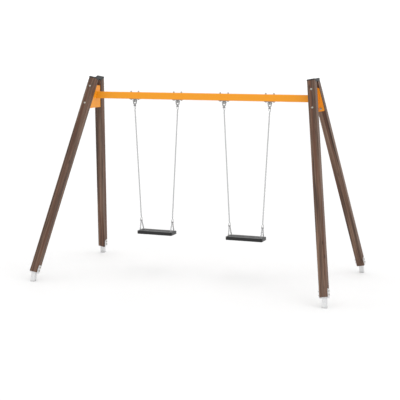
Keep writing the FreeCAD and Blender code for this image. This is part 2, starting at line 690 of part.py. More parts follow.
def axles(name, sides):
    """Axle bolts with their heads on the left and thin nuts on the right of each yoke."""
    far = size("barrel_length") / 2 + size("bush_flange_thick") + size("yoke_gap") + size("yoke_arm")
    diameter, flats, nut = size("axle"), size("flats_m12"), size("axle_nut")
    bolt = hex_bolt(diameter, 2 * far + nut + size("axle_end"), flats, size("axle_head"))
    centres = hanger_centres(sides)
    heads = [Placement(c + Vector(-far, 0, 0), turned((-1, 0, 0))) for c in centres]
    nuts = [Placement(c + Vector(far, 0, 0), turned((1, 0, 0))) for c in centres]
    copies(f"{name}_axles", bolt, heads)
    copies(f"{name}_axle_nuts", plain_nut(diameter, flats, nut), nuts)


def shackle_half():
    """Half the inside width of a shackle, which takes two links side by side."""
    return size("chain_wire") + 1.5 * size("shackle_play")


def shackle_bow():
    """Bow of a shackle in the XZ plane: pin axis along X at the origin, bow towards -Z."""
    wire = size("shackle_wire") / 2
    half = shackle_half()
    arc = half + wire
    straight = size("shackle_reach") - half
    bend = Part.makeTorus(arc, wire, Vector(0, 0, 0), Vector(0, 1, 0), 0, 360, 180)
    if bend.BoundBox.ZMax > wire + 1e-6 and bend.BoundBox.ZMin > -arc:
        bend.rotate(Vector(0, 0, 0), Vector(1, 0, 0), 180)
    bend.translate(Vector(0, 0, -straight))
    parts = [bend]
    for k in (-1, 1):
        parts.append(Part.makeCylinder(wire, straight, Vector(k * arc, 0, -straight)))
        start = Vector(k * half if k > 0 else -half - 2 * wire, 0, 0)
        parts.append(Part.makeCylinder(size("shackle_eye") / 2, 2 * wire, start, Vector(1, 0, 0)))
    bow = parts[0].multiFuse(parts[1:]).removeSplitter()
    return bow.cut(Part.makeCylinder(size("shackle_pin") / 2, 4 * arc, Vector(-2 * arc, 0, 0),
                                     Vector(1, 0, 0)))


def shackle_pin():
    """Pin along X with a round head on the left and its end flush on the right."""
    half = shackle_half() + size("shackle_wire")
    radius = size("shackle_pin") / 2
    across = Vector(1, 0, 0)
    thick = size("shackle_pin_head_thick")
    shank = Part.makeCylinder(radius, 2 * half + size("shackle_pin_end"), Vector(-half, 0, 0), across)
    head = Part.makeCylinder(size("shackle_pin_head") / 2, thick, Vector(-half - thick, 0, 0), across)
    return shank.fuse(head).removeSplitter()


# ---- chains --------------------------------------------------------------------------------

def link_inner():
    """Inside width of a link: it also goes round shackles, their pins and the seat's eyes."""
    held = ("chain_wire", "shackle_wire", "shackle_pin", "eye_wire")
    return max(size(wire) for wire in held) + size("link_slack")


def link_straight():
    """Length of a link's straight sides, which is also the distance between its two bends."""
    return size("link_pitch") + size("link_play") - link_inner()


def chain_link():
    """Link along Z, flat in the XZ plane."""
    wire = size("chain_wire") / 2
    bend = link_inner() / 2 + wire
    straight = link_straight()
    rail = [Part.LineSegment(Vector(-bend, 0, -straight / 2), Vector(-bend, 0, straight / 2)),
            Part.Arc(Vector(-bend, 0, straight / 2), Vector(0, 0, straight / 2 + bend),
                     Vector(bend, 0, straight / 2)),
            Part.LineSegment(Vector(bend, 0, straight / 2), Vector(bend, 0, -straight / 2)),
            Part.Arc(Vector(bend, 0, -straight / 2), Vector(0, 0, -straight / 2 - bend),
                     Vector(-bend, 0, -straight / 2))]
    path = Part.Wire([curve.toShape() for curve in rail])
    circle = Part.Circle(Vector(-bend, 0, 0), Vector(0, 0, 1), wire)
    profile = Part.Wire([circle.toShape()])
    profile.translate(Vector(0, 0, -straight / 2))
    return path.makePipeShell([profile], True, False)


def link_places(start, direction, count, first_upright):
    """Places of links that hang in a row; start is the middle of the wire that holds the first.

    A link is upright when its flat side faces along X, so that it hooks a wire along X.
    """
    down = direction.normalize()
    first = link_straight() / 2
    across = Vector(1, 0, 0)
    side = down.cross(across).normalize()
    flat_x = side.cross(down).normalize()
    places = []
    for i in range(count):
        upright = (i % 2 == 0) == first_upright
        x_axis = side if upright else flat_x
        turn = Rotation(x_axis, Vector(), -down, "ZXY")
        places.append(Placement(start + down * (first + i * size("link_pitch")), turn))
    return places


def chain_geometry(side, inner):
    """Places along one chain of a swing, as world positions."""
    axle = Vector(worked_out(hanger_x(side, inner)), 0, worked_out(AXLE_Z))
    top_pin = axle - Vector(0, 0, size("yoke_drop"))
    wire = size("shackle_reach") + size("shackle_wire") / 2
    top_bow = top_pin - Vector(0, 0, wire)
    span = link_straight() + (size("chain_links") - 1) * size("link_pitch")
    shift = (size("hanger_gap") - size("chain_gap_low")) / 2
    low_bow = top_bow + Vector(-inner * shift, 0, -sqrt(span ** 2 - shift ** 2))
    low_pin = low_bow - Vector(0, 0, wire)
    bridle = link_straight() + (size("bridle_links") - 1) * size("link_pitch") + size("eye_radius")
    lean = shift / sqrt(span ** 2 - shift ** 2)
    drop = sqrt((bridle ** 2 - size("eye_half_y") ** 2) / (1 + lean ** 2))
    eye = low_pin + Vector(-inner * lean * drop, 0, -drop)
    return {"top_pin": top_pin, "top_bow": top_bow, "low_bow": low_bow, "low_pin": low_pin, "eye": eye}


def make_chains(name, side, link):
    for inner, word in ((-1, "left"), (1, "right")):
        at = chain_geometry(side, inner)
        run = at["low_bow"] - at["top_bow"]
        copies(f"{name}_chain_{word}", link,
               link_places(at["top_bow"], run, int(size("chain_links")), True))
        places = []
        for end in ENDS.values():
            aside = (size("chain_wire") + size("shackle_play")) / 2
            start = at["low_pin"] + Vector(end * aside, 0, 0)
            goal = at["eye"] + Vector(0, end * size("eye_half_y"), 0)
            places += link_places(start, goal - start, int(size("bridle_links")), True)
        copies(f"{name}_bridles_{word}", link, places)


def make_shackles(name, side):
    bow, pin = shackle_bow(), shackle_pin()
    upside = Rotation(Vector(1, 0, 0), 180)
    places = []
    for inner in (-1, 1):
        at = chain_geometry(side, inner)
        places += [Placement(at["top_pin"], Rotation()), Placement(at["low_pin"], upside)]
    copies(f"{name}_shackles", bow, places)
    copies(f"{name}_shackle_pins", pin, places)


# ---- seats ---------------------------------------------------------------------------------

def seat_top():
    return chain_geometry(1, 1)["eye"].z - size("eye_rise")


def eye_places(side):
    """World positions of a seat's four eye bolts, on top of the seat."""
    places = []
    for inner in (-1, 1):
        eye = chain_geometry(side, inner)["eye"]
        places += [Vector(eye.x, end * size("eye_half_y"), seat_top()) for end in ENDS.values()]
    return places


def rounded_block(length, depth, thick, corner):
    block = Part.makeBox(length, depth, thick, Vector(-length / 2, -depth / 2, -thick))
    uprights = [edge for edge in block.Edges if along(edge, Vector(0, 0, 1))]
    return block.makeFillet(corner, uprights)


def make_seat(name, side):
    """Rubber seat around a metal plate; the eye bolts' nuts sit in recesses under the seat."""
    middle = Vector(side * size("swing_offset"), 0, seat_top())
    thick = size("seat_thick")
    block = rounded_block(size("seat_length"), size("seat_depth"), thick, size("seat_corner"))
    rims = [edge for edge in block.Edges if edge.BoundBox.ZLength < 1e-6]
    block = block.makeFillet(size("seat_edge"), rims)
    margin_x, margin_y = size("core_margin_x"), size("core_margin_y")
    core = rounded_block(size("seat_length") - 2 * margin_x, size("seat_depth") - 2 * margin_y,
                         size("core_thick"), size("seat_corner") - margin_y)
    core.translate(Vector(0, 0, -(thick - size("core_thick")) / 2))

    def drilled(shape, diameter):
        drills = [Part.makeCylinder(diameter / 2, 3 * thick, place - middle - Vector(0, 0, 2 * thick))
                  for place in eye_places(side)]
        return shape.cut(drills)

    recess = size("eye_washer") / 2 + size("recess_gap")
    recesses = [Part.makeCylinder(recess, size("seat_recess"), place - middle - Vector(0, 0, thick))
                for place in eye_places(side)]
    rubber = drilled(block.cut([core] + recesses), size("eye_bolt"))
    plate = drilled(core, size("eye_bolt") + size("bolt_clearance"))
    for label, shape in ((f"{name}_seat", rubber), (f"{name}_seat_core", plate)):
        set_shape(label, shape).Placement = Placement(middle, Rotation())


def eye_bolts(name, side):
    radius = size("eye_radius")
    thick = size("seat_thick")
    washer = size("washer_thick")
    nut = size("nut_m8")
    loop = Part.makeTorus(radius, size("eye_wire") / 2, Vector(0, 0, size("eye_rise")), Vector(1, 0, 0))
    collar = Part.makeCylinder(size("eye_collar") / 2, size("eye_collar_thick"))
    grip = thick - size("seat_recess")
    length = grip + washer + nut
    shank = Part.makeCylinder(size("eye_bolt") / 2, length, Vector(0, 0, -length))
    eye = loop.multiFuse([collar, shank]).removeSplitter()
    tops = eye_places(side)
    under = turned((0, 0, -1))
    copies(f"{name}_eye_bolts", eye, [Placement(top, Rotation()) for top in tops])
    copies(f"{name}_eye_washers", ring(size("eye_bolt"), size("eye_washer"), washer),
           [Placement(top - Vector(0, 0, grip), under) for top in tops])
    copies(f"{name}_eye_nuts", cap_nut(size("eye_bolt"), size("flats_m8"), nut),
           [Placement(top - Vector(0, 0, grip + washer), under) for top in tops])


# ---- the whole set -------------------------------------------------------------------------

for end_name, end in ENDS.items():
    for side_name, side in SIDES.items():
        where = f"{end_name}_{side_name}"
        make_post(f"post_{where}", post_frame(side, end))
        make_cap(f"post_cap_{where}", post_frame(side, end))
        make_shoe(f"post_shoe_{where}", side, end)
for side_name, side in SIDES.items():
    make_bracket(f"bracket_{side_name}", side)
make_beam()
shoe_fasteners()
post_fasteners()
hanger_fasteners()
pivot_bushes()
chain_link_shape = chain_link()
for side_name, side in SIDES.items():
    for inner, word in ((-1, "left"), (1, "right")):
        make_hanger(f"hanger_{side_name}_{word}", side, inner)
        make_yoke(f"{side_name}_yoke_{word}", side, inner)
    axles(side_name, (side,))
    make_shackles(side_name, side)
    make_chains(side_name, side, chain_link_shape)
    make_seat(side_name, side)
    eye_bolts(side_name, side)

doc.recompute()
for obj in doc.Objects:
    if "Invalid" in obj.State or "Error" in obj.State:
        raise RuntimeError(f"{obj.Label} failed: {obj.State}")
os.makedirs("parts", exist_ok=True)
for obj in nodes:
    if obj.Shape.isNull() or not obj.Shape.isValid():
        raise RuntimeError(f"{obj.Label} has no valid shape")
    obj.Shape.exportStep(f"parts/{obj.Label}.step")
print(len(nodes), "sub-parts")
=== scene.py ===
import math

import bmesh
import bpy
from mathutils import Matrix, Vector


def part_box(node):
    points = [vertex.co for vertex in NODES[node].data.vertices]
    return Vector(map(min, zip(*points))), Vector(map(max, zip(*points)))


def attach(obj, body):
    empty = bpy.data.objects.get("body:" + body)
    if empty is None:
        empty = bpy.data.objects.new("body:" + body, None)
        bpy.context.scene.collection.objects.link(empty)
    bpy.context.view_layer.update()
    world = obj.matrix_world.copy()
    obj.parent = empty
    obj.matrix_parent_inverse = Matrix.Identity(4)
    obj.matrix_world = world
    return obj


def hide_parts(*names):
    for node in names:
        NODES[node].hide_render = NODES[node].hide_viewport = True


# Looks of a two-seat swing set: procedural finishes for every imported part, moulded seats and
# weld seams in mesh code, a plain floor, soft light and the camera. All sizes are in metres.

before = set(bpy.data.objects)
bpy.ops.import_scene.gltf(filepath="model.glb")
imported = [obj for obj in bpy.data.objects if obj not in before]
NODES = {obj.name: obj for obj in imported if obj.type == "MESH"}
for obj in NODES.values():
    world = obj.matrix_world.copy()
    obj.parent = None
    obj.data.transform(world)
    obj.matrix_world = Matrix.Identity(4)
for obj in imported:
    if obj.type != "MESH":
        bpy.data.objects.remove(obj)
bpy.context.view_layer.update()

# Sizes of the looks alone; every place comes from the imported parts
SEAT_CORNER = 0.016          # plan radius of a seat's corners
SEAT_EDGE = 0.006            # radius of a seat's upper and lower edges
GROOVE_FIRST = 0.050         # seat's edge to its outermost anti-slip groove
GROOVE_STEP = 0.0075
GROOVE_DEPTH = 0.0012
GROOVE_COUNT = 4
GROOVE_SECTION = ((-0.0022, 0.0), (-0.0014, 0.25), (-0.0008, 0.85), (0.0, 1.0),
                  (0.0008, 0.85), (0.0014, 0.25), (0.0022, 0.0))   # across, and share of its depth
PARTING_LINE = 0.0006        # half width and height of the moulding's raised parting line
RECESS_GAP = 0.0015          # gap between a recess under the seat and the washer in it
RECESS_DEPTH = 0.016
WELD_RADIUS = 0.0035
WELD_RIPPLE = 0.006          # length of one ripple of a weld seam
WELD_SIDES = 10              # points round a weld seam
BEAM_CORNER = 0.006          # outer radius of the beam's long edges
SHOE_PLATE = 0.006           # thickness of the plate under a post
SHOE_WELD_HALF = 0.0255      # half the side of the seam round a shoe's square tube
SHOE_WELD_CORNER = 0.002
HANGER_PLATE = 0.006         # thickness of a hanger's plate
HANGER_WELD_HALF = 0.0115    # half length of a hanger's seams, and their distance from its middle
HANGER_WELD_RADIUS = 0.0028
CONTACT_SHADE_HEIGHT = 0.03          # height to which painted contact shade darkens the shoes above the ground
GRAIN_STEP = 3.7             # shift of the grain from one post's wood to the next
FLOOR_REACH = 60.0

# Camera: the direction, lens and distance from which the set is shown
CAMERA_AZIMUTH = 20.96
CAMERA_ELEVATION = 8.47
CAMERA_DISTANCE = 12.204
CAMERA_TARGET = (-0.0084, 0.0, 0.9246)
CAMERA_LENS = 92.98          # millimetres, on a sensor 36 mm wide

# Light: one soft lamp in a white dome
DOME_STRENGTH = 1.15
KEY_DIRECTION = (-0.75, 0.35, -1.0)
KEY_STRENGTH = 0.5
KEY_SPREAD = 60.0


# ---- node materials ------------------------------------------------------------------------

def linear(red, green, blue):
    """Scene colour of an 8-bit screen colour."""
    def channel(value):
        value /= 255
        return value / 12.92 if value <= 0.04045 else ((value + 0.055) / 1.055) ** 2.4
    return (channel(red), channel(green), channel(blue), 1.0)


class Finish:
    """A principled material under construction. Textures follow the object, in metres."""

    def __init__(self, name, **inputs):
        self.material = bpy.data.materials.new(name)
        self.material.use_nodes = True
        self.tree = self.material.node_tree
        self.tree.nodes.clear()
        output = self.tree.nodes.new("ShaderNodeOutputMaterial")
        self.shader = self.node("BsdfPrincipled")
        self.tree.links.new(self.shader.outputs[0], output.inputs["Surface"])
        for socket, value in inputs.items():
            self.shader.inputs[socket.replace("_", " ")].default_value = value
        self.place = self.node("TexCoord").outputs["Object"]

    def node(self, kind, **settings):
        made = self.tree.nodes.new("ShaderNode" + kind)
        for key, value in settings.items():
            setattr(made, key, value)
        return made

    def feed(self, socket, value):
        """Set a socket to a number or colour, or link an output to it."""
        if isinstance(value, bpy.types.NodeSocket):
            self.tree.links.new(value, socket)
        else:
            socket.default_value = value

    def stretch(self, scale, source=None):
        """Texture place with each axis multiplied by its own scale."""
        made = self.node("VectorMath", operation="MULTIPLY")
        self.feed(made.inputs[0], source or self.place)
        made.inputs[1].default_value = scale
        return made.outputs[0]

    def noise(self, scale, detail=4.0, roughness=0.55, source=None, distortion=0.0):
        made = self.node("TexNoise")
        self.feed(made.inputs["Vector"], source or self.place)
        made.inputs["Scale"].default_value = scale
        made.inputs["Detail"].default_value = detail
        made.inputs["Roughness"].default_value = roughness
        made.inputs["Distortion"].default_value = distortion
        return made.outputs[0]

    def cells(self, scale, source=None, output="Distance"):
        made = self.node("TexVoronoi", feature="F1")
        self.feed(made.inputs["Vector"], source or self.place)
        made.inputs["Scale"].default_value = scale
        return made.outputs[output]

    def ramp(self, factor, stops):
        """Colours or greys at places along a factor."""
        made = self.node("ValToRGB")
        self.feed(made.inputs[0], factor)
        elements = made.color_ramp.elements
        while len(elements) < len(stops):
            elements.new(0.5)
        for element, (position, colour) in zip(elements, stops):
            element.position = position
            element.color = colour if isinstance(colour, tuple) else (colour, colour, colour, 1.0)
        return made.outputs[0]

    def mix(self, factor, first, second, blend="MIX"):
        made = self.node("Mix", data_type="RGBA", blend_type=blend)
        self.feed(made.inputs[0], factor)
        self.feed(made.inputs[6], first)
        self.feed(made.inputs[7], second)
        return made.outputs[2]

    def maths(self, operation, first, second):
        made = self.node("Math", operation=operation)
        self.feed(made.inputs[0], first)
        self.feed(made.inputs[1], second)
        return made.outputs[0]

    def between(self, factor, low, high):
        """Factor from 0 to 1 turned into a value from low to high."""
        made = self.node("MapRange")
        self.feed(made.inputs[0], factor)
        made.inputs[3].default_value = low
        made.inputs[4].default_value = high
        return made.outputs[0]

    def bump(self, height, distance, strength=1.0, under=None):
        made = self.node("Bump")
        self.feed(made.inputs["Height"], height)
        made.inputs["Distance"].default_value = distance
        made.inputs["Strength"].default_value = strength
        if under is not None:
            self.feed(made.inputs["Normal"], under)
        return made.outputs[0]

    def worn_edges(self, amount=0.35):
        """Factor that rises along convex edges, where a finish rubs through."""
        first = 0.52
        full = first + 0.1 * (1 - amount)
        return self.ramp(self.node("NewGeometry").outputs["Pointiness"], [(first, 0.0), (full, 1.0)])

    def use(self, colour=None, roughness=None, normal=None):
        for socket, value in (("Base Color", colour), ("Roughness", roughness), ("Normal", normal)):
            if value is not None:
                self.feed(self.shader.inputs[socket], value)
        return self.material


def post_axes(post):
    """Matrix whose Z axis runs along a post and whose X axis lies in the plane of the beam."""
    mesh = post.data
    longest = max(mesh.edges, key=lambda e: (mesh.vertices[e.vertices[0]].co
                                             - mesh.vertices[e.vertices[1]].co).length)
    ends = [mesh.vertices[i].co for i in longest.vertices]
    up = (ends[1] - ends[0]).normalized()
    if up.z < 0:
        up.negate()
    along_beam = Vector((0, 1, 0)).cross(up).normalized()
    low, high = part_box(post.name)
    middle = (Vector(low) + Vector(high)) / 2
    turn = Matrix((along_beam, up.cross(along_beam), up)).transposed()
    return Matrix.Translation(middle) @ turn.to_4x4()


def wood(name, axes, seed):
    """Brown glazed softwood whose streaks, pores and drying cracks run along the post."""
    finish = Finish(name, Specular_IOR_Level=0.35)
    mapping = finish.node("Mapping", vector_type="TEXTURE")
    finish.feed(mapping.inputs["Vector"], finish.place)
    mapping.inputs["Location"].default_value = axes.translation - Vector((0, 0, GRAIN_STEP * seed))
    mapping.inputs["Rotation"].default_value = axes.to_euler()
    local = mapping.outputs[0]
    sway = finish.noise(1.6, detail=2.0, source=local)
    bent = finish.node("VectorMath", operation="ADD")
    finish.feed(bent.inputs[0], local)
    finish.feed(bent.inputs[1], finish.stretch((0.012, 0.012, 0.0), sway))
    grain = bent.outputs[0]
    streaks = finish.noise(1.0, detail=5.0, roughness=0.62, source=finish.stretch((70, 70, 1.1), grain))
    broad = finish.noise(1.0, detail=3.0, source=finish.stretch((22, 22, 0.8), grain))
    fibres = finish.noise(1.0, detail=4.0, roughness=0.7, source=finish.stretch((620, 620, 14), grain))
    base = finish.ramp(streaks, [(0.36, linear(38, 27, 22)), (0.46, linear(72, 53, 42)),
                                 (0.56, linear(102, 76, 60)), (0.66, linear(132, 106, 87))])
    pale = finish.mix(finish.ramp(broad, [(0.5, 0.0), (0.6, 0.6)]), base, linear(112, 93, 80))
    greyed = finish.mix(finish.ramp(broad, [(0.38, 0.65), (0.48, 0.0)]), pale, linear(58, 44, 36))
    reddish = finish.ramp(finish.noise(1.0, detail=2.0, source=finish.stretch((34, 34, 0.6), grain)),
                          [(0.5, 0.0), (0.66, 0.6)])
    tinted = finish.mix(reddish, greyed, linear(94, 58, 40))
    fibrous = finish.mix(0.45, tinted, finish.ramp(fibres, [(0.3, 0.25), (0.6, 0.78)]), "OVERLAY")
    crack_noise = finish.noise(1.0, detail=3.0, roughness=0.5,
                               source=finish.stretch((120, 120, 1.5), grain))
    cracks = finish.ramp(crack_noise, [(0.655, 0.0), (0.685, 1.0)])
    knots = finish.cells(1.0, source=finish.stretch((13, 13, 3.1), grain))
    knot = finish.ramp(knots, [(0.05, 1.0), (0.11, 0.0)])
    knotted = finish.mix(knot, fibrous, linear(54, 37, 29))
    colour = finish.mix(cracks, knotted, linear(38, 28, 23))
    relief = finish.maths("SUBTRACT", finish.maths("MULTIPLY", fibres, 0.4),
                          finish.maths("MULTIPLY", cracks, 0.8))
    coarse = finish.bump(streaks, 0.0012, 0.6)
    normal = finish.bump(relief, 0.0008, 0.55, coarse)
    return finish.use(colour, finish.between(fibres, 0.5, 0.78), normal)


def powder_coat():
    """Orange powder coat with a fine orange-peel, faint dust and rubbed edges."""
    finish = Finish("orange_powder_coat", Specular_IOR_Level=0.3)
    tone = finish.noise(2.2, detail=3.0)
    colour = finish.mix(finish.ramp(tone, [(0.35, 0.0), (0.7, 1.0)]),
                        linear(255, 190, 14), linear(255, 197, 22))
    dust = finish.ramp(finish.noise(45.0, detail=6.0, roughness=0.7), [(0.55, 0.0), (0.8, 0.12)])
    dusty = finish.mix(dust, colour, linear(246, 206, 116))
    worn = finish.mix(finish.worn_edges(), dusty, linear(232, 150, 28))
    peel = finish.bump(finish.noise(420.0, detail=2.0), 0.0002, 0.35)
    normal = finish.bump(finish.noise(60.0, detail=2.0), 0.0004, 0.2, peel)
    rough = finish.between(finish.noise(90.0, detail=4.0), 0.32, 0.5)
    return finish.use(worn, rough, normal)


def painted_ground_shade(finish, colour, height):
    """Colour with painted contact shade: a patchy grey darkening, strongest at the ground and gone at a
    height above it.
    """
    level = finish.node("SeparateXYZ")
    finish.feed(level.inputs[0], finish.stretch((1, 1, 1 / height)))
    patchy = finish.maths("ADD", level.outputs[2], finish.maths("MULTIPLY", finish.noise(60.0), 0.4))
    # Painted shade: grey mixed in, strongest at the ground, where the shoe meets the floor.
    contact_shade = finish.ramp(patchy, [(0.2, 0.36), (1.0, 0.0)])
    return finish.mix(contact_shade, colour, linear(128, 126, 121))


def galvanised(name, light, dark, spangle, shade_height=None):
    """Hot-dip zinc: pale grey spangle with dull patches and small runs, and, given a height, painted
    shade towards the ground.
    """
    finish = Finish(name, Metallic=0.85)
    grain_tone = finish.ramp(finish.cells(spangle, output="Color"), [(0.2, dark), (0.8, light)])
    patches = finish.ramp(finish.noise(18.0, detail=5.0), [(0.4, 0.0), (0.7, 0.7)])
    dull = tuple(0.5 * (a + b) for a, b in zip(light, dark))
    colour = finish.mix(patches, grain_tone, dull)
    # Painted shade: the shoes are darkened towards the ground in place of their contact shadow.
    if shade_height:
        colour = painted_ground_shade(finish, colour, shade_height)
    rough = finish.between(finish.noise(35.0, detail=5.0), 0.34, 0.58)
    runs = finish.bump(finish.noise(1.0, detail=2.0, source=finish.stretch((60, 60, 12))), 0.0006, 0.4)
    normal = finish.bump(finish.noise(700.0, detail=2.0), 0.0001, 0.3, runs)
    return finish.use(colour, rough, normal)


def satin_steel(name, tone, roughness=0.3):
    """Turned or brushed steel with fine scratches and handling marks."""
    finish = Finish(name, Metallic=1.0, Anisotropic=0.3)
    brushed = finish.noise(1.0, detail=3.0, source=finish.stretch((90, 2600, 2600)))
    marks = finish.ramp(finish.noise(120.0, detail=6.0, roughness=0.7), [(0.5, 0.0), (0.75, 0.35)])
    darker = tuple(0.72 * part for part in tone[:3]) + (1.0,)
    colour = finish.mix(marks, tone, darker)
    rough = finish.between(brushed, roughness - 0.06, roughness + 0.12)
    normal = finish.bump(brushed, 0.00006, 0.35)
    return finish.use(colour, rough, normal)


def moulded_plastic(name, dark, light):
    """Moulded plastic with a fine eroded grain and lighter rubbed edges."""
    finish = Finish(name, Specular_IOR_Level=0.35)
    tone = finish.ramp(finish.noise(28.0, detail=5.0), [(0.35, dark), (0.75, light)])
    edges = tuple(1.5 * part for part in light[:3]) + (1.0,)
    colour = finish.mix(finish.worn_edges(0.5), tone, edges)
    rough = finish.between(finish.noise(60.0, detail=4.0), 0.42, 0.62)
    normal = finish.bump(finish.noise(900.0, detail=3.0), 0.00015, 0.4)
    return finish.use(colour, rough, normal)


def seat_rubber():
    """Black moulded rubber, bloomed and scuffed where people sit."""
    finish = Finish("seat_rubber", Specular_IOR_Level=0.34, Sheen_Weight=0.06, Sheen_Roughness=0.6)
    tone = finish.ramp(finish.noise(9.0, detail=6.0, roughness=0.6),
                       [(0.35, linear(15, 15, 16)), (0.7, linear(24, 24, 25))])
    rubbed = finish.noise(1.0, detail=8.0, roughness=0.7, source=finish.stretch((14, 60, 30)))
    scuffs = finish.ramp(rubbed, [(0.55, 0.0), (0.78, 0.5)])
    colour = finish.mix(scuffs, tone, linear(44, 44, 45))
    grit = finish.noise(1500.0, detail=2.0)
    pebbles = finish.cells(520.0)
    rough = finish.between(scuffs, 0.44, 0.6)
    normal = finish.bump(grit, 0.00012, 0.4, finish.bump(pebbles, 0.00025, 0.35))
    return finish.use(colour, rough, normal)


def paint(nodes, material):
    """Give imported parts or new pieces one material."""
    for piece in nodes:
        piece.data.materials.clear()
        piece.data.materials.append(material)


def named(*starts):
    return [node for name, node in NODES.items() if name.startswith(starts)]


def finish_parts():
    posts = [NODES[f"post_{end}_{side}"] for end in ("front", "rear") for side in ("left", "right")]
    for seed, post in enumerate(posts):
        paint([post], wood(f"wood_{post.name}", post_axes(post), seed + 1))
    coat = powder_coat()
    paint(named("beam", "bracket_"), coat)
    paint(named("post_cap"), moulded_plastic("cap_plastic", linear(22, 23, 24), linear(33, 34, 35)))
    # The shoes' zinc carries painted contact shade up to a small height above the ground.
    zinc = galvanised("hot_dip_zinc", linear(225, 225, 225), linear(210, 211, 212), 120.0, CONTACT_SHADE_HEIGHT)
    paint(named("post_shoe"), zinc)
    plated = satin_steel("zinc_plate", linear(172, 169, 161), 0.38)
    paint(named("post_bolt", "shoe_bolt", "shoe_nuts", "hanger_bolts", "hanger_nuts",
                "hanger_washers"), plated)
    stainless = satin_steel("stainless_steel", linear(152, 152, 152), 0.34)
    paint(named("hanger_left", "hanger_right", "left_yoke", "right_yoke", "left_axle", "right_axle",
                "left_shackle", "right_shackle", "left_eye", "right_eye"), stainless)
    paint(named("pivot_bushes"), moulded_plastic("bush_plastic", linear(224, 222, 214),
                                                 linear(238, 237, 231)))
    links = galvanised("chain_zinc", linear(198, 198, 199), linear(150, 151, 153), 260.0)
    paint(named("left_chain", "right_chain", "left_bridles", "right_bridles"), links)
    insert = satin_steel("insert_steel", linear(190, 191, 193))
    paint(named("left_seat_core", "right_seat_core"), insert)
    rubber = seat_rubber()
    paint([NODES["left_seat"], NODES["right_seat"]], rubber)
    return coat, zinc, stainless, rubber


# ---- new pieces ----------------------------------------------------------------------------

def new_piece(name, mesh, material, body):
    piece = bpy.data.objects.new(name, mesh)
    bpy.context.scene.collection.objects.link(piece)
    mesh.materials.append(material)
    for polygon in mesh.polygons:
        polygon.use_smooth = True
    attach(piece, body)
    return piece


def skin(name, rings, endless=False):
    """Mesh through rings of equally many points, closed at both ends or joined end to end."""
    model = bmesh.new()
    loops = [[model.verts.new(point) for point in ring] for ring in rings]
    count = len(loops[0])
    pairs = list(zip(loops, loops[1:]))
    if endless:
        pairs.append((loops[-1], loops[0]))
    for low, high in pairs:
        for i in range(count):
            k = (i + 1) % count
            model.faces.new((low[i], low[k], high[k], high[i]))
    if not endless:
        model.faces.new(list(reversed(loops[0])))
        model.faces.new(loops[-1])
    bmesh.ops.recalc_face_normals(model, faces=model.faces)
    mesh = bpy.data.meshes.new(name)
    model.to_mesh(mesh)
    model.free()
    return mesh


def rounded_rectangle(half_x, half_y, radius, corner_steps=10, side_steps=16):
    """Points of an outline with round corners, anticlockwise from the lower right."""
    points = []
    corners = [(1, -1, -90), (1, 1, 0), (-1, 1, 90), (-1, -1, 180)]
    for index, (sx, sy, start) in enumerate(corners):
        centre = Vector((sx * (half_x - radius), sy * (half_y - radius)))
        for step in range(corner_steps + 1):
            angle = math.radians(start + 90 * step / corner_steps)
            points.append(centre + radius * Vector((math.cos(angle), math.sin(angle))))
        nx, ny, begin = corners[(index + 1) % 4]
        angle = math.radians(begin)
        ahead = Vector((nx * (half_x - radius), ny * (half_y - radius)))
        ahead += radius * Vector((math.cos(angle), math.sin(angle)))
        last = points[-1].copy()
        points += [last.lerp(ahead, step / side_steps) for step in range(1, side_steps)]
    return points


def seat_profile(thick):
    """Inset and height of the seat's section, from the middle below to the middle on top."""
    points = [(0.070, -thick), (0.040, -thick), (0.020, -thick)]
    points += [(SEAT_EDGE * (1 - math.sin(a)), -thick + SEAT_EDGE * (1 - math.cos(a)))
               for a in (math.radians(15 * k) for k in range(7))]
    seam = -thick / 2
    foot = PARTING_LINE + 0.001
    points += [(0.0, seam - foot), (-PARTING_LINE, seam - PARTING_LINE),
               (-PARTING_LINE, seam + PARTING_LINE), (0.0, seam + foot)]
    points += [(SEAT_EDGE * (1 - math.cos(a)), -SEAT_EDGE * (1 - math.sin(a)))
               for a in (math.radians(15 * k) for k in range(7))]
    points += [(0.014, 0.0), (0.026, 0.0), (0.040, 0.0)]
    for index in range(GROOVE_COUNT):
        middle = GROOVE_FIRST + index * GROOVE_STEP
        points += [(middle + across, -GROOVE_DEPTH * deep) for across, deep in GROOVE_SECTION]
    points += [(0.076, 0.0), (0.080, 0.0)]
    return points


def recess_circles(side, middle):
    """Centre and radius of each round recess; there is one round the washer at each corner."""
    washers = {}
    for vertex in NODES[f"{side}_eye_washers"].data.vertices:
        corner = (vertex.co.x > middle.x, vertex.co.y > middle.y)
        washers.setdefault(corner, []).append(vertex.co)
    circles = []
    for points in washers.values():
        xs = [point.x for point in points]
        ys = [point.y for point in points]
        centre = Vector(((min(xs) + max(xs)) / 2, (min(ys) + max(ys)) / 2))
        circles.append((centre, (max(xs) - min(xs)) / 2 + RECESS_GAP))
    return circles


def cut_recesses(seat, side, low, middle):
    """Cut the recesses into the underside of a moulded seat."""
    model = bmesh.new()
    for centre, radius in recess_circles(side, middle):
        place = Matrix.Translation((centre.x, centre.y, low.z))
        bmesh.ops.create_cone(model, cap_ends=True, segments=48, radius1=radius, radius2=radius,
                              depth=2 * RECESS_DEPTH, matrix=place)
    mesh = bpy.data.meshes.new("recesses")
    model.to_mesh(mesh)
    model.free()
    tool = bpy.data.objects.new("recesses", mesh)
    bpy.context.scene.collection.objects.link(tool)
    cut = seat.modifiers.new("recesses", "BOOLEAN")
    cut.operation = "DIFFERENCE"
    cut.solver = "EXACT"
    cut.object = tool
    bpy.context.view_layer.update()
    evaluated = seat.evaluated_get(bpy.context.evaluated_depsgraph_get())
    carved = bpy.data.meshes.new_from_object(evaluated)
    seat.modifiers.clear()
    seat.data = carved
    bpy.data.objects.remove(tool)


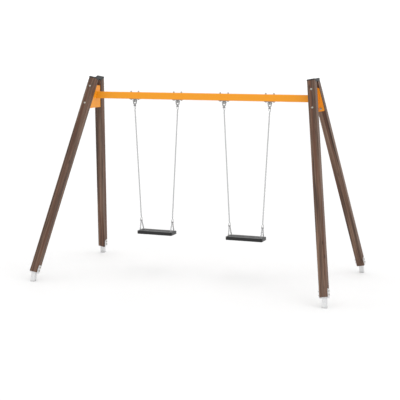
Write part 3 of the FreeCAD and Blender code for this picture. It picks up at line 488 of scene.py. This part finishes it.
def mould_seat(side, rubber):
    """Moulded seat with round edges, a parting line and grooves that follow its outline."""
    low, high = (Vector(corner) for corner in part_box(f"{side}_seat"))
    middle = (low + high) / 2
    half = (high - low) / 2
    rings = []
    for inset, height in seat_profile(high.z - low.z):
        outline = rounded_rectangle(half.x - inset, half.y - inset, max(SEAT_CORNER - inset, 0.004))
        rings.append([Vector((middle.x + p.x, middle.y + p.y, high.z + height)) for p in outline])
    mesh = skin(f"{side}_seat_moulding", rings)
    seat = new_piece(f"{side}_seat_moulding", mesh, rubber, f"{side}_seat_set")
    cut_recesses(seat, side, low, middle)
    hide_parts(f"{side}_seat")


def ring_distance(before, ring, turn):
    """How far a ring, turned by some points, is from the ring before it."""
    return sum((ring[(k + turn) % len(ring)] - point).length_squared for k, point in enumerate(before))


def weld_seam(name, path, material, closed=True, radius=WELD_RADIUS):
    """Rippled bead on the frame along a path, of overlapping rounds as a welder lays them."""
    lengths = [(b - a).length for a, b in zip(path, path[1:] + path[:1])]
    if not closed:
        lengths = lengths[:-1]
    total = sum(lengths)
    steps = max(12, round(total / WELD_RIPPLE * 6))
    count = steps if closed else steps + 1
    rings = []
    for step in range(count):
        walked = total * step / steps
        index = 0
        while index < len(lengths) - 1 and walked > lengths[index]:
            walked -= lengths[index]
            index += 1
        start, stop = path[index], path[(index + 1) % len(path)]
        point = start.lerp(stop, min(1.0, walked / lengths[index]))
        ahead = (stop - start).normalized()
        ripple = (total * step / steps / WELD_RIPPLE) % 1.0
        girth = radius * (0.82 + 0.18 * math.sin(math.pi * ripple))
        if not closed:
            girth *= min(1.0, 0.35 + 4 * min(step, steps - step) / steps * total / (8 * radius))
        side = ahead.orthogonal().normalized()
        up = ahead.cross(side)
        rings.append([point + girth * (math.cos(a) * side + math.sin(a) * up)
                      for a in (math.tau * k / WELD_SIDES for k in range(WELD_SIDES))])
    for before, ring in zip(rings, rings[1:]):
        shift = min(range(WELD_SIDES), key=lambda turn: ring_distance(before, ring, turn))
        ring[:] = ring[shift:] + ring[:shift]
    mesh = skin(name, rings, endless=closed)
    new_piece(name, mesh, material, "frame")


def beam_welds(coat):
    """Seam round each end of the beam where it meets its bracket."""
    low, high = (Vector(corner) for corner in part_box("beam"))
    half = (high - low) / 2
    tops = [v.co.x for v in NODES["beam"].data.vertices if v.co.z > high.z - 1e-4]
    slope = (high.x - max(tops)) / (high.z - low.z)
    for sign, side in ((-1, "left"), (1, "right")):
        path = []
        for point in rounded_rectangle(half.y, half.z, BEAM_CORNER, corner_steps=6, side_steps=6):
            y, z = point
            x = sign * (high.x - slope * (z + half.z))
            path.append(Vector((x, y, (low.z + high.z) / 2 + z)))
        weld_seam(f"beam_weld_{side}", path, coat)


def shoe_welds(zinc):
    """Seam round the square tube under each shoe's plate."""
    for end in ("front", "rear"):
        for side in ("left", "right"):
            axes = post_axes(NODES[f"post_{end}_{side}"])
            inverse = axes.inverted()
            foot = min((inverse @ v.co).z for v in NODES[f"post_{end}_{side}"].data.vertices)
            outline = rounded_rectangle(SHOE_WELD_HALF, SHOE_WELD_HALF, SHOE_WELD_CORNER,
                                        corner_steps=4, side_steps=6)
            path = [axes @ Vector((point.x, point.y, foot - SHOE_PLATE)) for point in outline]
            weld_seam(f"shoe_weld_{end}_{side}", path, zinc)


def hanger_welds(stainless):
    """Two short seams that hold each bearing barrel's block to its plate."""
    for side in ("left", "right"):
        for inner in ("left", "right"):
            low, high = (Vector(corner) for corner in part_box(f"hanger_{side}_{inner}"))
            middle = (low + high) / 2
            under = high.z - HANGER_PLATE
            for sign, word in ((-1, "front"), (1, "rear")):
                path = [Vector((middle.x + end * HANGER_WELD_HALF, sign * HANGER_WELD_HALF, under))
                        for end in (-1, 1)]
                weld_seam(f"hanger_weld_{side}_{inner}_{word}", path, stainless,
                          closed=False, radius=HANGER_WELD_RADIUS)


# ---- floor, light and camera ---------------------------------------------------------------

def make_floor():
    mesh = bpy.data.meshes.new("floor")
    corners = [(x * FLOOR_REACH, y * FLOOR_REACH, 0) for x, y in ((-1, -1), (1, -1), (1, 1), (-1, 1))]
    mesh.from_pydata(corners, [], [(0, 1, 2, 3)])
    floor = bpy.data.objects.new("floor", mesh)
    bpy.context.scene.collection.objects.link(floor)
    finish = Finish("floor", Specular_IOR_Level=0.15)
    tone = finish.ramp(finish.noise(0.8, detail=3.0), [(0.3, 0.81), (0.7, 0.83)])
    mesh.materials.append(finish.use(tone, 0.7))


def make_light():
    """White studio dome with one broad soft lamp above the right of the camera."""
    world = bpy.data.worlds.new("studio")
    world.use_nodes = True
    background = world.node_tree.nodes["Background"]
    background.inputs["Color"].default_value = (1.0, 1.0, 1.0, 1.0)
    background.inputs["Strength"].default_value = DOME_STRENGTH
    bpy.context.scene.world = world
    data = bpy.data.lights.new("key", "SUN")
    data.energy = KEY_STRENGTH
    data.angle = math.radians(KEY_SPREAD)
    lamp = bpy.data.objects.new("key", data)
    lamp.rotation_euler = Vector(KEY_DIRECTION).to_track_quat("-Z", "Y").to_euler()
    bpy.context.scene.collection.objects.link(lamp)


def make_camera():
    data = bpy.data.cameras.new("camera")
    data.lens = CAMERA_LENS
    data.sensor_width = 36.0
    camera = bpy.data.objects.new("camera", data)
    azimuth = math.radians(CAMERA_AZIMUTH)
    elevation = math.radians(CAMERA_ELEVATION)
    back = Vector((math.sin(azimuth) * math.cos(elevation), -math.cos(azimuth) * math.cos(elevation),
                   math.sin(elevation)))
    camera.location = Vector(CAMERA_TARGET) + CAMERA_DISTANCE * back
    camera.rotation_euler = (-back).to_track_quat("-Z", "Y").to_euler()
    bpy.context.scene.collection.objects.link(camera)
    bpy.context.scene.camera = camera


coat, zinc, stainless, rubber = finish_parts()
for side in ("left", "right"):
    mould_seat(side, rubber)
beam_welds(coat)
shoe_welds(zinc)
hanger_welds(stainless)
make_floor()
make_light()
make_camera()
bpy.context.scene.view_settings.view_transform = "Standard"
